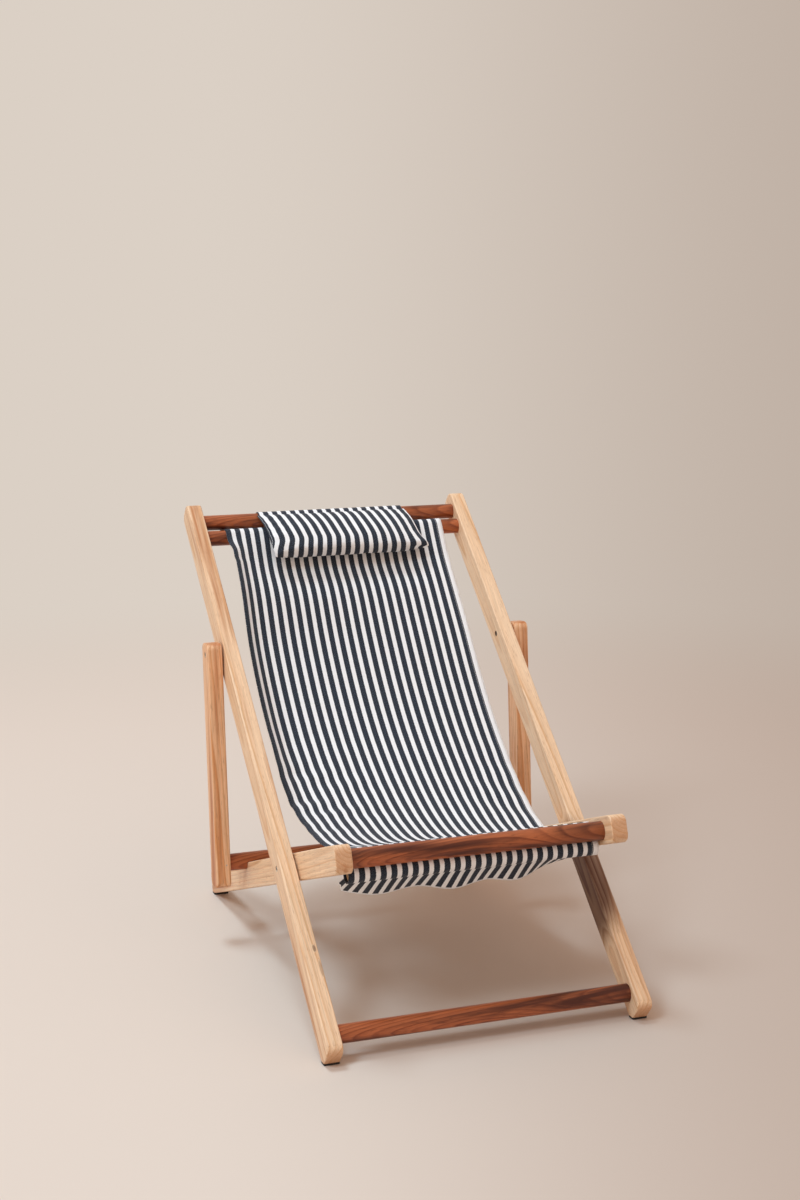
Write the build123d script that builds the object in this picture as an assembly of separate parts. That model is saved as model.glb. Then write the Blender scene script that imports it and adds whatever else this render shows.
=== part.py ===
from build123d import *
import math
import os

# Folding sling chair in two timbers. Lengths are in millimetres and angles in degrees.
# The front faces -Y, X runs across the chair, and the floor is Z = 0.
# The origin is on the floor, under the middle of the chair's footprint.

# Back frame: two long rails that run from the front feet up to the head
rail_thickness = 21.0
rail_width = 36.0
rail_length = 886.0
back_lean = 50.1
bottom_bar_at = 31.0
seat_pivot_at = 268.5
lower_top_bar_at = 829.5
top_bar_pitch = 30.2
rail_end_radius = 12.0
rail_edge_radius = 2.0

# Seat frame: two seat rails inside the long rails
seat_rail_thickness = 22.0
seat_rail_width = 36.0
seat_rail_behind_pivot = 471.0
seat_rail_ahead_of_pivot = 187.0
seat_bar_ahead_of_pivot = 154.0
seat_bar_pitch = 30.0
seat_end_radius = 11.0
seat_edge_radius = 2.0

# Support frame: two struts outside the long rails
strut_thickness = 21.0
strut_width = 32.0
strut_above_pivot = 16.0
strut_reach = 295.2
strut_end_past_bar = 32.8
strut_end_radius = 9.0
strut_edge_radius = 2.0

# The strut pivot lies so far up the long rail that the folded support bar clears the seat pivot
folded_bar_past_pivot = 55.3
strut_pivot_at = seat_pivot_at + folded_bar_past_pivot + strut_reach

# Notches in the seat rails that hold the support bar
notch_count = 3
notch_pitch = 52.0
notch_depth = 9.4
notch_ramp_angle = 50.0
notch_clearance = 0.3

# Round bars
bottom_bar_diameter = 23.5
top_bar_diameter = 22.0
seat_bar_diameter = 24.8
support_bar_diameter = 23.8
socket_depth = 12.0
socket_end_gap = 0.3
glue_gap = 0.05
bar_chamfer = 1.0

# Brads that lock each bar in its socket
brad_diameter = 2.0
brad_length = 24.0
brad_inset = 6.0
brad_gap = 0.03

# Pivots: a shouldered screw and a round nut, both sunk, with a washer between the boards
pivot_gap = 2.1
shoulder_diameter = 6.0
running_clearance = 0.05
head_diameter = 8.0
head_height = 1.8
head_edge = 0.4
head_sink = 0.8
head_recess_diameter = 8.6
driver_across_flats = 3.0
driver_depth = 1.0
stud_diameter = 3.6
stud_length = 1.5
thread_gap = 0.03
nut_height = 2.0
washer_diameter = 16.0
side_clearance = 0.15

# Rubber feet, each held by one screw
pad_thickness = 3.0
pad_inset = 0.4
pad_edge = 0.8
front_sole_dip = 6.0
rear_sole_dip = 4.2
pad_screw_diameter = 2.6
pad_screw_head_diameter = 5.0
pad_screw_head_height = 1.2
pad_screw_length = 14.0
pad_screw_recess = 0.6

# Sling cloth: a sleeve and a loose dowel at each end, and a loose tail at the front one
cloth_thickness = 1.2
cloth_width = 335.0
cloth_side_gap = 3.9
cloth_clearance = 0.4
edge_twist = 15.0
sleeve_dowel_diameter = 19.0
sleeve_slack = 0.3
dowel_short_of_cloth = 3.0
dowel_chamfer = 1.0
tail_length = 36.0
tail_droop = 46.0
tail_wave_angle = 20.0

# Head pillow with a flap that hangs over the upper top bar
pillow_width = 230.0
pillow_height = 82.0
pillow_thickness = 31.0
pillow_lean = 42.5
pillow_skew = 14.5
pillow_seam_gap = 0.3
flap_width = 224.0
flap_thickness = 1.2
flap_clearance = 0.4
flap_drop = 62.0

# The long rails stand apart by the cloth, its side gaps, the seat rails and their pivot gaps
rail_clear_width = cloth_width + 2 * (cloth_side_gap + seat_rail_thickness + pivot_gap)

# Side view of the sling between its two bars, from head to seat:
# share of the way forward, share of the drop, share of the edge twist
sling_run_shares = [
    (0.054, 0.135, 0.00),
    (0.110, 0.255, -0.20),
    (0.195, 0.464, -0.90),
    (0.289, 0.657, -0.95),
    (0.383, 0.811, -0.80),
    (0.477, 0.926, -0.45),
    (0.571, 1.013, 0.05),
    (0.665, 1.074, 0.60),
    (0.759, 1.106, 1.00),
    (0.834, 1.103, 0.90),
    (0.910, 1.067, 0.50),
]
# The two edges of the sling: share of the half width, share of the twist
sling_edge_shares = [(-1.0, 1.0), (1.0, -1.0)]
# Waves of the loose tail: share of the half width, share of the length, share of the wave angle
tail_wave_shares = [
    (-1.0, 0.80, -0.10),
    (-0.72, 1.06, 0.60),
    (-0.40, 0.98, 0.12),
    (-0.12, 1.00, 0.36),
    (0.14, 0.86, -0.20),
    (0.42, 1.00, 0.20),
    (0.70, 0.94, -0.40),
    (1.0, 0.70, -1.00),
]
# Sections down the pillow: share of the height, of the half width, of the thickness to back and front
pillow_section_shares = [
    (0.00, 0.97, -0.02, 0.05),
    (0.10, 0.99, 0.00, 0.25),
    (0.32, 1.00, 0.18, 0.62),
    (0.55, 1.00, 0.08, 0.86),
    (0.76, 1.00, -0.04, 0.92),
    (0.92, 1.00, -0.07, 0.72),
    (1.00, 0.98, -0.02, 0.30),
]
# Half of a pillow section: share of the half width, share of its fullness
pillow_swell_shares = [(1.0, 0.0), (0.96, 0.42), (0.86, 0.72)]

LEFT = -1
RIGHT = 1
SIDES = ((LEFT, "left"), (RIGHT, "right"))


class SideLine:
    """A member's centre line in the side view: a start point and a direction in the YZ plane."""

    def __init__(self, y, z, angle):
        self.y = y
        self.z = z
        self.angle = angle
        self.cos = math.cos(math.radians(angle))
        self.sin = math.sin(math.radians(angle))

    def at(self, along, across=0.0):
        """Point at a distance along the line and across it, to the left of its direction."""
        y = self.y + along * self.cos - across * self.sin
        z = self.z + along * self.sin + across * self.cos
        return y, z

    def plane(self, x):
        """Sketch plane with its first axis along the line and its normal along X."""
        return Plane(origin=(x, self.y, self.z), x_dir=(0, self.cos, self.sin), z_dir=(1, 0, 0))


def polar(centre, radius, angle):
    """Point on a circle in the side view."""
    turn = math.radians(angle)
    return centre[0] + radius * math.cos(turn), centre[1] + radius * math.sin(turn)


def solve_back_line():
    """Back frame's line: its toe stands on the floor and the footprint is centred on Y = 0."""
    lean = math.radians(back_lean)
    half = rail_width / 2
    start_z = pad_thickness - front_sole_dip + half * math.sin(lean)
    toe = (half - rail_end_radius) * math.cos(lean) + rail_end_radius
    head = (rail_length - rail_end_radius) * math.sin(lean) + toe
    toe_y = rail_end_radius * math.sin(lean) - toe
    return SideLine(-(toe_y + head) / 2, start_z, 90 - back_lean)


def solve_seat_line(back):
    """Seat frame's line: it hangs on the seat pivot and its rear end stands on the floor."""
    half = seat_rail_width / 2
    pivot_y, pivot_z = back.at(seat_pivot_at)
    reach = math.hypot(seat_rail_behind_pivot, half)
    rise = pivot_z - pad_thickness + rear_sole_dip
    tilt = math.asin(rise / reach) - math.atan2(half, seat_rail_behind_pivot)
    return SideLine(pivot_y, pivot_z, -math.degrees(tilt))


def solve_support(back, seat):
    """Strut line and the first notch: the support bar hangs in it on the struts' reach."""
    pivot_y, pivot_z = back.at(strut_pivot_at)
    bar_across = seat_rail_width / 2 - notch_depth + support_bar_diameter / 2 + notch_clearance
    away_y = pivot_y - seat.y
    away_z = pivot_z - seat.z
    along = away_y * seat.cos + away_z * seat.sin
    across = away_z * seat.cos - away_y * seat.sin
    notch_along = along + math.sqrt(strut_reach**2 - (across - bar_across) ** 2)
    bar_y, bar_z = seat.at(notch_along, bar_across)
    angle = math.degrees(math.atan2(bar_z - pivot_z, bar_y - pivot_y))
    return SideLine(pivot_y, pivot_z, angle), notch_along, bar_across


back_line = solve_back_line()
seat_line = solve_seat_line(back_line)
strut_line, notch_at, bar_across = solve_support(back_line, seat_line)

rail_inner_x = rail_clear_width / 2
rail_outer_x = rail_inner_x + rail_thickness
seat_outer_x = rail_inner_x - pivot_gap
seat_inner_x = seat_outer_x - seat_rail_thickness
strut_inner_x = rail_outer_x + pivot_gap
strut_outer_x = strut_inner_x + strut_thickness
head_recess_depth = head_height + head_sink
nut_recess_depth = nut_height + head_sink
cut_overrun = pivot_gap

# Each bar: its name, where it crosses its frame, its diameter
back_bars = [
    ("bottom_bar", bottom_bar_at, bottom_bar_diameter),
    ("lower_top_bar", lower_top_bar_at, top_bar_diameter),
    ("upper_top_bar", lower_top_bar_at + top_bar_pitch, top_bar_diameter),
]
seat_bars = [
    ("front_seat_bar", -seat_bar_ahead_of_pivot, seat_bar_diameter),
    ("rear_seat_bar", -seat_bar_ahead_of_pivot + seat_bar_pitch, seat_bar_diameter),
]
support_bars = [("support_bar", strut_reach, support_bar_diameter)]


def slab(line, outline, inner_x, thickness, side):
    """Extrude a side-view outline into a board on one side of the chair."""
    start = inner_x if side == RIGHT else -inner_x - thickness
    return extrude(line.plane(start) * outline, amount=thickness)


def board(line, start, end, width, radii, inner_x, thickness, side, edge_radius):
    """Board with a radius at each end's lower and upper corner and all its long edges rounded."""
    half = width / 2
    outline = Pos((start + end) / 2, 0) * Rectangle(end - start, width)
    corners = [(start, -half), (start, half), (end, -half), (end, half)]
    for corner, radius in zip(corners, radii):
        if radius > 0:
            vertex = outline.vertices().sort_by_distance((*corner, 0))[0]
            outline = fillet(vertex, radius)
    solid = slab(line, outline, inner_x, thickness, side)
    by_x = solid.edges().group_by(Axis.X)
    return fillet(by_x[0] + by_x[-1], edge_radius)


def rod(inner_x, outer_x, side, point, radius):
    """Round rod along X between two distances from the middle of the chair."""
    middle = side * (inner_x + outer_x) / 2
    return Pos(middle, *point) * Rot(0, 90, 0) * Cylinder(radius, outer_x - inner_x)


def below(top_z):
    """Large block under a level plane, to cut a sole with."""
    size = rail_length + seat_rail_behind_pivot
    return Pos(0, 0, top_z - size / 2) * Box(size, size, size)


def brad(line, along, width, inner_x, side, radius):
    """Brad driven from a board's lower edge through the bar in its socket."""
    middle = (side * (inner_x + brad_inset), *line.at(along, (brad_length - width) / 2))
    return Pos(*middle) * Rot(line.angle, 0, 0) * Cylinder(radius, brad_length)


def drilled(solid, line, bars, width, inner_x, side):
    """Cut the blind sockets and the brad holes of a frame's bars into one of its boards."""
    for _, along, diameter in bars:
        radius = diameter / 2 + glue_gap
        solid -= rod(inner_x - cut_overrun, inner_x + socket_depth, side, line.at(along), radius)
        solid -= brad(line, along, width, inner_x, side, brad_diameter / 2 + brad_gap)
    return solid


def bar(line, along, diameter, width, inner_x):
    """Round bar whose two ends sit in blind sockets, with a brad hole in each."""
    length = 2 * (inner_x + socket_depth - socket_end_gap)
    solid = Pos(0, *line.at(along)) * Rot(0, 90, 0) * Cylinder(diameter / 2, length)
    solid = chamfer(solid.edges().filter_by(GeomType.CIRCLE), bar_chamfer)
    for side in (LEFT, RIGHT):
        solid -= brad(line, along, width, inner_x, side, brad_diameter / 2 + brad_gap)
    return solid


def bored(solid, point, inner_x, outer_x, side, recess_depth, recess_outside):
    """Cut a pivot's running hole through a board, with a recess on one of its faces."""
    radius = shoulder_diameter / 2 + running_clearance
    solid -= rod(inner_x - cut_overrun, outer_x + cut_overrun, side, point, radius)
    recess = (inner_x - cut_overrun, inner_x + recess_depth)
    if recess_outside:
        recess = (outer_x - recess_depth, outer_x + cut_overrun)
    return solid - rod(*recess, side, point, head_recess_diameter / 2)


def long_rail(side):
    """Back frame rail: rounded head and toe, a level sole and the two pivots."""
    radii = (0, rail_end_radius, rail_end_radius, rail_end_radius)
    size = (rail_inner_x, rail_thickness, side, rail_edge_radius)
    solid = board(back_line, 0, rail_length, rail_width, radii, *size)
    solid -= below(pad_thickness)
    solid = drilled(solid, back_line, back_bars, rail_width, rail_inner_x, side)
    faces = (rail_inner_x, rail_outer_x, side)
    solid = bored(solid, back_line.at(seat_pivot_at), *faces, head_recess_depth, True)
    solid = bored(solid, back_line.at(strut_pivot_at), *faces, nut_recess_depth, False)
    return solid - foot_screw_hole(*front_foot_place(side))


def notch(at):
    """Notch outline: a cradle round the bar, opened forwards and up by a ramp."""
    radius = support_bar_diameter / 2 + notch_clearance
    ramp = math.radians(notch_ramp_angle)
    foot = (at - radius * math.sin(ramp), bar_across - radius * math.cos(ramp))
    mouth = (foot[0] - (seat_rail_width - foot[1]) / math.tan(ramp), seat_rail_width)
    wedge = make_face(Polyline((at, bar_across), foot, mouth, (at, seat_rail_width), close=True))
    return Pos(at, bar_across) * Circle(radius) + wedge


def seat_rail(side):
    """Seat frame rail: rounded front end, notched upper edge and a level rear sole."""
    radii = (seat_end_radius, seat_end_radius, 0, seat_end_radius)
    size = (seat_inner_x, seat_rail_thickness, side, seat_edge_radius)
    ends = (-seat_rail_ahead_of_pivot, seat_rail_behind_pivot)
    solid = board(seat_line, *ends, seat_rail_width, radii, *size)
    solid -= below(pad_thickness)
    cut = (seat_inner_x - cut_overrun, seat_rail_thickness + 2 * cut_overrun, side)
    for step in range(notch_count):
        solid -= slab(seat_line, notch(notch_at + step * notch_pitch), *cut)
    solid = drilled(solid, seat_line, seat_bars, seat_rail_width, seat_inner_x, side)
    faces = (seat_inner_x, seat_outer_x, side)
    solid = bored(solid, seat_line.at(0), *faces, nut_recess_depth, False)
    return solid - foot_screw_hole(*rear_foot_place(side))


def support_strut(side):
    """Support frame strut, rounded at both ends."""
    radii = (strut_end_radius, strut_end_radius, strut_end_radius, strut_end_radius)
    size = (strut_inner_x, strut_thickness, side, strut_edge_radius)
    ends = (-strut_above_pivot, strut_reach + strut_end_past_bar)
    solid = board(strut_line, *ends, strut_width, radii, *size)
    solid = drilled(solid, strut_line, support_bars, strut_width, strut_inner_x, side)
    return bored(solid, strut_line.at(0), strut_inner_x, strut_outer_x, side, head_recess_depth, True)


def sole(line, along, across):
    """Where the two edges of a board's lowest corner cross the top of its pad, along Y."""
    y, z = line.at(along, across)
    slope = math.radians(abs(line.angle))
    dip = pad_thickness - z
    return y, dip / math.tan(slope), dip * math.tan(slope)


def front_foot_place(side):
    """Middle of a front sole: the rail rises behind its corner and its end face in front."""
    y, along_rail, along_end = sole(back_line, 0, -rail_width / 2)
    return side * (rail_inner_x + rail_thickness / 2), y + (along_rail - along_end) / 2


def rear_foot_place(side):
    """Middle of a rear sole: the rail rises in front of its corner and its end face behind."""
    y, along_rail, along_end = sole(seat_line, seat_rail_behind_pivot, -seat_rail_width / 2)
    return side * (seat_inner_x + seat_rail_thickness / 2), y + (along_end - along_rail) / 2


def foot_screw_hole(x, y):
    """Pilot hole for a foot's screw."""
    depth = pad_screw_length + pad_screw_recess
    return Pos(x, y, depth / 2) * Cylinder(pad_screw_diameter / 2 + brad_gap, depth)


def foot_pad(x, y, length, thickness):
    """Rubber foot under a sole, with a sunk hole for its screw."""
    body = Box(thickness - 2 * pad_inset, length - 2 * pad_inset, pad_thickness)
    body = fillet(body.edges().filter_by(Axis.Z), pad_edge)
    body = chamfer(body.faces().sort_by(Axis.Z)[0].edges(), pad_edge / 2)
    head_room = pad_screw_recess + pad_screw_head_height
    body -= Cylinder(pad_screw_diameter / 2 + brad_gap, pad_thickness)
    head = Cylinder(pad_screw_head_diameter / 2 + brad_gap, head_room)
    body -= Pos(0, 0, (head_room - pad_thickness) / 2) * head
    return Pos(x, y, pad_thickness / 2) * body


def foot_screw(x, y):
    """Flat-headed screw that holds a foot, sunk above the floor."""
    head = Cylinder(pad_screw_head_diameter / 2, pad_screw_head_height)
    shank_length = pad_screw_length - pad_screw_head_height
    shank = Cylinder(pad_screw_diameter / 2, shank_length)
    solid = head + Pos(0, 0, (pad_screw_head_height + shank_length) / 2) * shank
    return Pos(x, y, pad_screw_recess + pad_screw_head_height / 2) * solid


def along_x(solid, x, side, point):
    """Lay a turned part along X: its own Z axis points outwards on its side of the chair."""
    return Pos(side * x, *point) * Rot(0, 90 * side, 0) * solid


def pivot_screw(grip):
    """Screw along Z: its head stands on zero, with a shoulder of the grip's length and a stud below."""
    head = Pos(0, 0, head_height / 2) * Cylinder(head_diameter / 2, head_height)
    head = fillet(head.edges().group_by(Axis.Z)[-1], head_edge)
    driver = extrude(RegularPolygon(driver_across_flats / 2, 6, major_radius=False), amount=driver_depth)
    head -= Pos(0, 0, head_height - driver_depth) * driver
    shoulder = Pos(0, 0, -grip / 2) * Cylinder(shoulder_diameter / 2, grip)
    stud = Pos(0, 0, -grip - stud_length / 2) * Cylinder(stud_diameter / 2, stud_length)
    return head + shoulder + stud


def pivot_nut():
    """Round nut along Z that hangs from zero, blind bored for the stud."""
    body = Pos(0, 0, -nut_height / 2) * Cylinder(head_diameter / 2, nut_height)
    body = fillet(body.edges().group_by(Axis.Z)[0], head_edge)
    return body - Pos(0, 0, -stud_length / 2) * Cylinder(stud_diameter / 2 + thread_gap, stud_length)


def pivot_washer():
    """Washer along Z that hangs from zero, thinner than its gap."""
    thickness = pivot_gap - side_clearance
    ring = Cylinder(washer_diameter / 2, thickness)
    ring -= Cylinder(shoulder_diameter / 2 + running_clearance, thickness)
    return Pos(0, 0, -thickness / 2) * ring


def pivot_pair(prefix, point, outer_x, inner_x, gap_outer_x):
    """Screws, nuts and washers of the pivots on the two sides; the heads face outwards."""
    seat_x = outer_x - head_recess_depth
    grip = seat_x - inner_x - nut_recess_depth + side_clearance
    groups = {"screws": [], "nuts": [], "washers": []}
    for side in (LEFT, RIGHT):
        groups["screws"].append(along_x(pivot_screw(grip), seat_x + side_clearance, side, point))
        groups["nuts"].append(along_x(pivot_nut(), seat_x + side_clearance - grip, side, point))
        groups["washers"].append(along_x(pivot_washer(), gap_outer_x - side_clearance / 2, side, point))
    return {f"{prefix}_{kind}": Compound(children=solids) for kind, solids in groups.items()}


sleeve_radius = sleeve_dowel_diameter / 2 + sleeve_slack + cloth_thickness


def sleeve_centre(line, along, pitch, diameter):
    """Axis of a sleeve drawn up into the gap between two bars, on the lower side of their line."""
    apart = diameter / 2 + sleeve_radius + cloth_clearance
    return line.at(along, -math.sqrt(apart**2 - (pitch / 2) ** 2))


def sleeve_dowel(centre):
    """Loose dowel that keeps a sleeve from slipping through its gap."""
    length = cloth_width - 2 * dowel_short_of_cloth
    solid = Pos(0, *centre) * Rot(0, 90, 0) * Cylinder(sleeve_dowel_diameter / 2, length)
    return chamfer(solid.edges().filter_by(GeomType.CIRCLE), dowel_chamfer)


def wrap_radius(diameter):
    """Radius of the cloth's middle where it goes round a bar."""
    return diameter / 2 + cloth_clearance + cloth_thickness / 2


def run_ends():
    """Ends of the sling's free run on its two bars, with the angles of its upper side there."""
    head = back_line.at(lower_top_bar_at)
    seat = seat_line.at(seat_bars[1][1])
    first = sling_run_shares[0]
    last = sling_run_shares[-1]
    forward = head[0] - seat[0]
    drop = head[1] - seat[1]
    leave = 90 + math.degrees(math.atan2(first[1] * drop, first[0] * forward))
    arrive = 90 - math.degrees(math.atan2((last[1] - 1) * drop, (1 - last[0]) * forward))
    start = polar(head, wrap_radius(top_bar_diameter), leave)
    end = polar(seat, wrap_radius(seat_bar_diameter), arrive)
    return start, end, leave, arrive


def run_points(twist_share):
    """Middle line of the free run and its upper side's normals, at an edge's share of the twist."""
    start, end, leave, arrive = run_ends()
    points = [start]
    for forward, down, _ in sling_run_shares:
        y = start[0] + forward * (end[0] - start[0])
        z = start[1] + down * (end[1] - start[1])
        points.append((y, z))
    points.append(end)
    ways = [polar((0, 0), 1, leave)]
    for before, after in zip(points, points[2:]):
        angle = math.degrees(math.atan2(after[1] - before[1], after[0] - before[0]))
        ways.append(polar((0, 0), 1, angle - 90))
    ways.append(polar((0, 0), 1, arrive))
    twists = [0] + [twist for _, _, twist in sling_run_shares] + [0]
    lifts = [edge_twist * twist_share * twist for twist in twists]
    moved = [(p[0] + lift * n[0], p[1] + lift * n[1]) for p, n, lift in zip(points, ways, lifts)]
    return moved, ways


def arcs_through(points):
    """Arcs through each three points of a list of odd length."""
    return [ThreePointArc(*points[i:i + 3]) for i in range(0, len(points) - 2, 2)]


def cloth_face(x, points, ways):
    """Cross-section of a cloth sheet on the plane at x, with arcs on both its sides."""
    half = cloth_thickness / 2
    upper = [(x, p[0] + half * n[0], p[1] + half * n[1]) for p, n in zip(points, ways)]
    lower = [(x, p[0] - half * n[0], p[1] - half * n[1]) for p, n in zip(points, ways)]
    ends = [Line(upper[0], lower[0]), Line(upper[-1], lower[-1])]
    return make_face(Wire(arcs_through(upper) + arcs_through(lower) + ends))


def cloth_strip(outline):
    """Strip of cloth across the chair, of one side-view outline."""
    return extrude(Plane.YZ.offset(-cloth_width / 2) * outline, amount=cloth_width)


def sleeve(middle, bar_centre, bar_diameter, centre, tangent):
    """Cloth from the end of the free run, round its bar, through the gap and round the dowel."""
    radius = wrap_radius(bar_diameter)
    to_gap = math.degrees(math.atan2(middle[1] - bar_centre[1], middle[0] - bar_centre[0]))
    sweep = (to_gap - tangent + 180) % 360 - 180
    edge = polar(bar_centre, radius, to_gap)
    to_edge = math.degrees(math.atan2(edge[1] - centre[1], edge[0] - centre[0]))
    joint = polar(centre, sleeve_radius - cloth_thickness / 2, to_edge)
    ring = Circle(sleeve_radius) - Circle(sleeve_radius - cloth_thickness)
    solid = cloth_strip(trace(CenterArc(bar_centre, radius, tangent, sweep), cloth_thickness))
    solid += cloth_strip(trace(Line(edge, joint), cloth_thickness))
    return solid + cloth_strip(Pos(*centre) * ring)


def tail(centre):
    """Loose tail that hangs behind the front sleeve, with its waves."""
    root = polar(centre, sleeve_radius - cloth_thickness / 2, -tail_droop)
    root_way = polar((0, 0), 1, 90 - tail_droop)
    sections = []
    for across, reach_share, wave_share in tail_wave_shares:
        length = tail_length * reach_share
        tip_droop = tail_droop + tail_wave_angle * wave_share
        middle = polar(root, length / 2, -(tail_droop + tip_droop) / 2)
        tip = polar(middle, length / 2, -tip_droop)
        way = polar((0, 0), 1, 90 - tip_droop)
        sections.append(cloth_face(across * cloth_width / 2, [root, middle, tip], [root_way, way, way]))
    return loft(sections)


def sling():
    """The whole cloth in one piece: its free run, its wraps and sleeves, and its loose tail."""
    _, _, leave, arrive = run_ends()
    edges = [cloth_face(x * cloth_width / 2, *run_points(twist)) for x, twist in sling_edge_shares]
    solid = loft(edges, ruled=True)
    head = back_line.at(lower_top_bar_at)
    seat = seat_line.at(seat_bars[1][1])
    solid += sleeve(top_gap, head, top_bar_diameter, top_sleeve_centre, leave)
    solid += sleeve(front_gap, seat, seat_bar_diameter, front_sleeve_centre, arrive)
    return solid + tail(front_sleeve_centre)


top_gap_at = lower_top_bar_at + top_bar_pitch / 2
front_gap_at = -seat_bar_ahead_of_pivot + seat_bar_pitch / 2
top_gap = back_line.at(top_gap_at)
front_gap = seat_line.at(front_gap_at)
top_sleeve_centre = sleeve_centre(back_line, top_gap_at, top_bar_pitch, top_bar_diameter)
front_sleeve_centre = sleeve_centre(seat_line, front_gap_at, seat_bar_pitch, seat_bar_diameter)
flap_radius = top_bar_diameter / 2 + flap_clearance + flap_thickness / 2


def pillow_line():
    """Line down the pillow's back from the upper top bar, where its flap leaves the bar."""
    centre = back_line.at(lower_top_bar_at + top_bar_pitch)
    return SideLine(*polar(centre, flap_radius, 90 + pillow_lean), 180 + pillow_lean)


def pillow_section(line, down, width_share, back_share, front_share):
    """One section across the pillow: a flat swell to the back and a full one to the front."""
    half = width_share * pillow_width / 2
    middle_x = down * pillow_skew
    seam = (back_share + front_share) / 2

    def place(x_share, swell):
        across = -pillow_thickness * swell
        return (middle_x + x_share * half, *line.at(down * pillow_height + pillow_seam_gap, across))

    curves = []
    for face in (front_share, back_share):
        rim = [(x, seam + full * (face - seam)) for x, full in pillow_swell_shares]
        right = [place(x, swell) for x, swell in rim]
        left = [place(-x, swell) for x, swell in rim]
        curves.append(ThreePointArc(*right))
        curves.append(ThreePointArc(right[-1], place(0, face), left[-1]))
        curves.append(ThreePointArc(*reversed(left)))
    return make_face(Wire(curves))


def head_pillow():
    """Stuffed pillow: crowned to the front, drawn in to its seams, and fuller towards its foot."""
    line = pillow_line()
    return loft([pillow_section(line, *shares) for shares in pillow_section_shares])


def pillow_flap():
    """Flap that holds the pillow: over the upper top bar and straight down behind it."""
    centre = back_line.at(lower_top_bar_at + top_bar_pitch)
    behind = (centre[0] + flap_radius, centre[1])
    foot = (behind[0], behind[1] - flap_drop)
    outline = trace(CenterArc(centre, flap_radius, 0, 90 + pillow_lean), flap_thickness)
    outline += trace(Line(behind, foot), flap_thickness)
    return extrude(Plane.YZ.offset(-flap_width / 2) * outline, amount=flap_width)


def frame_nodes(line, bars, width, inner_x, prefix):
    """Bars of one frame and the brads that hold them."""
    nodes = {name: bar(line, along, diameter, width, inner_x) for name, along, diameter in bars}
    brads = []
    for _, along, _ in bars:
        for side in (LEFT, RIGHT):
            brads.append(brad(line, along, width, inner_x, side, brad_diameter / 2))
    nodes[f"{prefix}_brads"] = Compound(children=brads)
    return nodes


def foot_nodes(prefix, place, corner, thickness):
    """Pads and screws under one pair of soles."""
    _, along_rail, along_end = corner
    length = along_rail + along_end
    pads = [foot_pad(*place(side), length, thickness) for side in (LEFT, RIGHT)]
    screws = [foot_screw(*place(side)) for side in (LEFT, RIGHT)]
    return {
        f"{prefix}_foot_pads": Compound(children=pads),
        f"{prefix}_foot_screws": Compound(children=screws),
    }


def all_nodes():
    """Every node of the chair by name."""
    nodes = {}
    for side, name in SIDES:
        nodes[f"{name}_long_rail"] = long_rail(side)
        nodes[f"{name}_seat_rail"] = seat_rail(side)
        nodes[f"{name}_support_strut"] = support_strut(side)
    nodes |= frame_nodes(back_line, back_bars, rail_width, rail_inner_x, "back_frame")
    nodes |= frame_nodes(seat_line, seat_bars, seat_rail_width, seat_inner_x, "seat_frame")
    nodes |= frame_nodes(strut_line, support_bars, strut_width, strut_inner_x, "support_frame")
    nodes |= pivot_pair("seat_pivot", seat_line.at(0), rail_outer_x, seat_inner_x, rail_inner_x)
    nodes |= pivot_pair("strut_pivot", strut_line.at(0), strut_outer_x, rail_inner_x, strut_inner_x)
    front_corner = sole(back_line, 0, -rail_width / 2)
    rear_corner = sole(seat_line, seat_rail_behind_pivot, -seat_rail_width / 2)
    nodes |= foot_nodes("front", front_foot_place, front_corner, rail_thickness)
    nodes |= foot_nodes("rear", rear_foot_place, rear_corner, seat_rail_thickness)
    nodes["top_sleeve_dowel"] = sleeve_dowel(top_sleeve_centre)
    nodes["front_sleeve_dowel"] = sleeve_dowel(front_sleeve_centre)
    nodes["sling"] = sling()
    nodes["head_pillow"] = head_pillow()
    nodes["pillow_flap"] = pillow_flap()
    return nodes


os.makedirs("parts", exist_ok=True)
for node_name, shape in all_nodes().items():
    export_step(shape, f"parts/{node_name}.step")

print(f"seat tilt {-seat_line.angle:.3f}, strut angle {strut_line.angle:.3f}, first notch at {notch_at:.2f}")
for word, (pivot_y, pivot_z) in (("seat", seat_line.at(0)), ("strut", strut_line.at(0))):
    print(f"{word} pivot at {pivot_y:.3f} {pivot_z:.3f}")
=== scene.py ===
"""Folding sling chair: striped canvas, stuffed pillow, timbers and fittings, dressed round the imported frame."""

import logging
import math
from collections.abc import Callable, Sequence
from dataclasses import dataclass, replace
from enum import Enum
from functools import partial
from typing import Any

import bmesh
import bpy
import numpy as np
from mathutils import Matrix, Vector


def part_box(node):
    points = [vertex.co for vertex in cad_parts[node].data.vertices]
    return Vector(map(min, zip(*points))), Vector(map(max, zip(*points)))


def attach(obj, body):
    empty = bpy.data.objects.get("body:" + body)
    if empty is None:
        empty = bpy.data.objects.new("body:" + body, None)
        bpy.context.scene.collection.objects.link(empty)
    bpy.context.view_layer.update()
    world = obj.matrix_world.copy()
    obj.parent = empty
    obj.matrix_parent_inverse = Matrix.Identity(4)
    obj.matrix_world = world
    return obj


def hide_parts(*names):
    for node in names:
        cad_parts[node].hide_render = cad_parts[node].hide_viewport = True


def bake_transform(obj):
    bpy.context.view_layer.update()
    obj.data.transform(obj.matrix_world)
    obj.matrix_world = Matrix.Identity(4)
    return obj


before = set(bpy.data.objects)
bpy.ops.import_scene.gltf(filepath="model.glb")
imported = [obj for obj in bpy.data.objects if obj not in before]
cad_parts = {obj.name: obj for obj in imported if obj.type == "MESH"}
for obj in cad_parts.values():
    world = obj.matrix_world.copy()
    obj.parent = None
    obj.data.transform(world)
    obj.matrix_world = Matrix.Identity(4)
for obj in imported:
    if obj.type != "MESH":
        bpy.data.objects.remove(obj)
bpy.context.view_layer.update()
LOG = logging.getLogger("sling_chair")

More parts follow.
